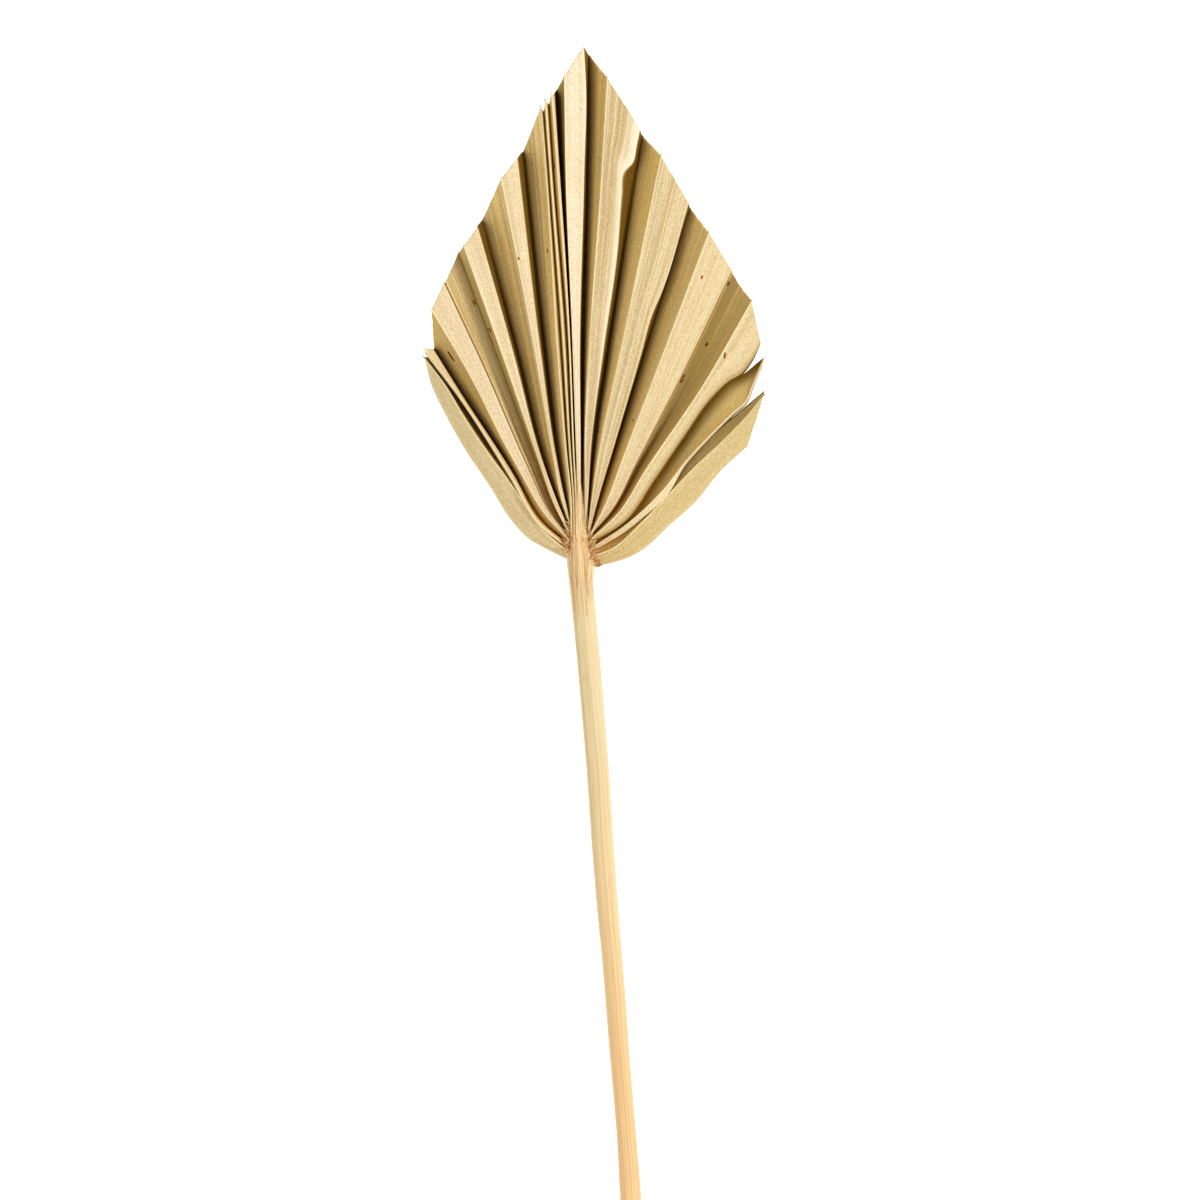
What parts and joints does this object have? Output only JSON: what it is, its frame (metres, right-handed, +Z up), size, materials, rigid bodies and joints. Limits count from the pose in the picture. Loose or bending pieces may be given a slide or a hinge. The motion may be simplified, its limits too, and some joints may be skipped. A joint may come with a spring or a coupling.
{
  "type": "fan palm leaf",
  "caption": "Dried fan palm leaf trimmed to a pointed spear, with a pleated blade on a long cut petiole, lying flat.",
  "frame": {"origin": "bottom centre of the leaf's bounding box, on the surface it lies on", "axes": "+Y towards the blade's tip, along the leaf; +Z up, away from the surface; +X across the blade"},
  "size_m": [0.1226, 0.45, 0.0109],
  "materials": {
    "petiole": "dry fibrous straw, slightly glossy",
    "blade": "dry papery leaf, matt"
  },
  "bodies": {
    "root": {"petiole": "petiole", "blade": "blade", "lower_left_segment": "blade", "middle_right_segment": "blade", "lower_right_segment": "blade"}
  },
  "joints": []
}
